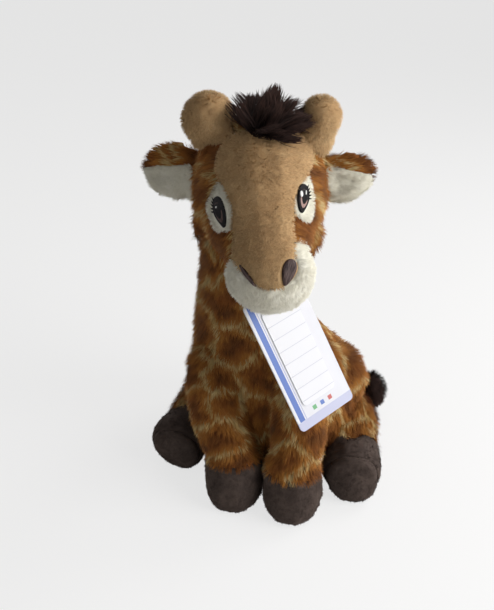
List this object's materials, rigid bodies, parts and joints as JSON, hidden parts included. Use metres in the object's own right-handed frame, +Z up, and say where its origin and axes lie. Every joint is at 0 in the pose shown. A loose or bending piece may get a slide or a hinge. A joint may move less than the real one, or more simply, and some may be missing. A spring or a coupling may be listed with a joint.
{
  "type": "plush toy",
  "caption": "Seated plush giraffe with a patched fur body, tan face, stubby horns, dark forelock and mane, velour hooves, tufted tail and a hanging card tag",
  "frame": {"origin": "on the floor under the middle of the giraffe's seat", "axes": "+Z up, the giraffe faces -Y, and +X is its own left side"},
  "size_m": [0.1808, 0.1827, 0.29],
  "materials": {
    "patched_fur": "matte",
    "tan_velour": "matte",
    "white_velour": "matte",
    "hoof_velour": "matte",
    "dark_long_pile": "matte",
    "embroidery": "satin",
    "stuffing": "matte",
    "tag_board": "satin",
    "sticker_paper": "satin",
    "fastener_nylon": "satin"
  },
  "bodies": {
    "torso": {"torso_cover": "patched_fur", "torso_stuffing": "stuffing", "mane": "dark_long_pile", "tag_fastener": "fastener_nylon"},
    "head": {"head_cover": "patched_fur", "face_panel": "tan_velour", "muzzle_cover": "white_velour", "head_stuffing": "stuffing", "forelock": "dark_long_pile", "eye_patch_right": "white_velour", "eye_right": "embroidery", "nostril_right": "embroidery", "horn_cover_right": "tan_velour", "horn_stuffing_right": "stuffing", "eye_patch_left": "white_velour", "eye_left": "embroidery", "nostril_left": "embroidery", "horn_cover_left": "tan_velour", "horn_stuffing_left": "stuffing"},
    "ear_right": {"ear_back_right": "patched_fur", "ear_lining_right": "white_velour"},
    "front_leg_right": {"front_right_leg_cover": "patched_fur", "front_right_hoof": "hoof_velour", "front_right_sole": "hoof_velour", "front_right_leg_stuffing": "stuffing"},
    "back_leg_right": {"back_right_leg_cover": "patched_fur", "back_right_hoof": "hoof_velour", "back_right_sole": "hoof_velour", "back_right_leg_stuffing": "stuffing"},
    "ear_left": {"ear_back_left": "patched_fur", "ear_lining_left": "white_velour"},
    "front_leg_left": {"front_left_leg_cover": "patched_fur", "front_left_hoof": "hoof_velour", "front_left_sole": "hoof_velour", "front_left_leg_stuffing": "stuffing"},
    "back_leg_left": {"back_left_leg_cover": "patched_fur", "back_left_hoof": "hoof_velour", "back_left_sole": "hoof_velour", "back_left_leg_stuffing": "stuffing"},
    "tail": {"tail_cover": "patched_fur", "tail_tuft": "dark_long_pile"},
    "tag": {"tag_card": "tag_board", "tag_sticker": "sticker_paper"}
  },
  "joints": [
    {"name": "head_turn", "type": "hinge", "parent": "torso", "child": "head", "pos_m": [-0.011, -0.025, 0.203], "axis": [0.0992, -0.0793, 0.9919], "range_deg": [-25, 25], "stiffness_Nm_per_rad": 0.5},
    {"name": "ear_right_droop", "type": "hinge", "parent": "head", "child": "ear_right", "pos_m": [-0.05, -0.02, 0.216], "axis": [0, -1, 0], "range_deg": [0, 30], "stiffness_Nm_per_rad": 0.05},
    {"name": "ear_left_droop", "type": "hinge", "parent": "head", "child": "ear_left", "pos_m": [0.0345, -0.014, 0.221], "axis": [0, 1, 0], "range_deg": [0, 30], "stiffness_Nm_per_rad": 0.05},
    {"name": "front_leg_right_lift", "type": "hinge", "parent": "torso", "child": "front_leg_right", "pos_m": [-0.036, -0.04, 0.124], "axis": [-1, 0, 0], "range_deg": [0, 45], "stiffness_Nm_per_rad": 0.4},
    {"name": "front_leg_left_lift", "type": "hinge", "parent": "torso", "child": "front_leg_left", "pos_m": [0.027, -0.043, 0.13], "axis": [-1, 0, 0], "range_deg": [0, 20], "stiffness_Nm_per_rad": 0.4},
    {"name": "back_leg_right_spread", "type": "hinge", "parent": "torso", "child": "back_leg_right", "pos_m": [-0.06, 0.027, 0.025], "axis": [0, 0, -1], "range_deg": [0, 25], "stiffness_Nm_per_rad": 0.4},
    {"name": "back_leg_left_spread", "type": "hinge", "parent": "torso", "child": "back_leg_left", "pos_m": [0.061, 0.027, 0.025], "axis": [0, 0, 1], "range_deg": [0, 25], "stiffness_Nm_per_rad": 0.4},
    {"name": "tail_swing", "type": "hinge", "parent": "torso", "child": "tail", "pos_m": [0.013, 0.065, 0.034], "axis": [0, 0, 1], "range_deg": [0, 60], "stiffness_Nm_per_rad": 0.03},
    {"name": "tag_lift", "type": "hinge", "parent": "torso", "child": "tag", "pos_m": [0.00903, -0.06322, 0.17031], "axis": [-0.6629, -0.7193, -0.208], "range_deg": [0, 40]}
  ]
}
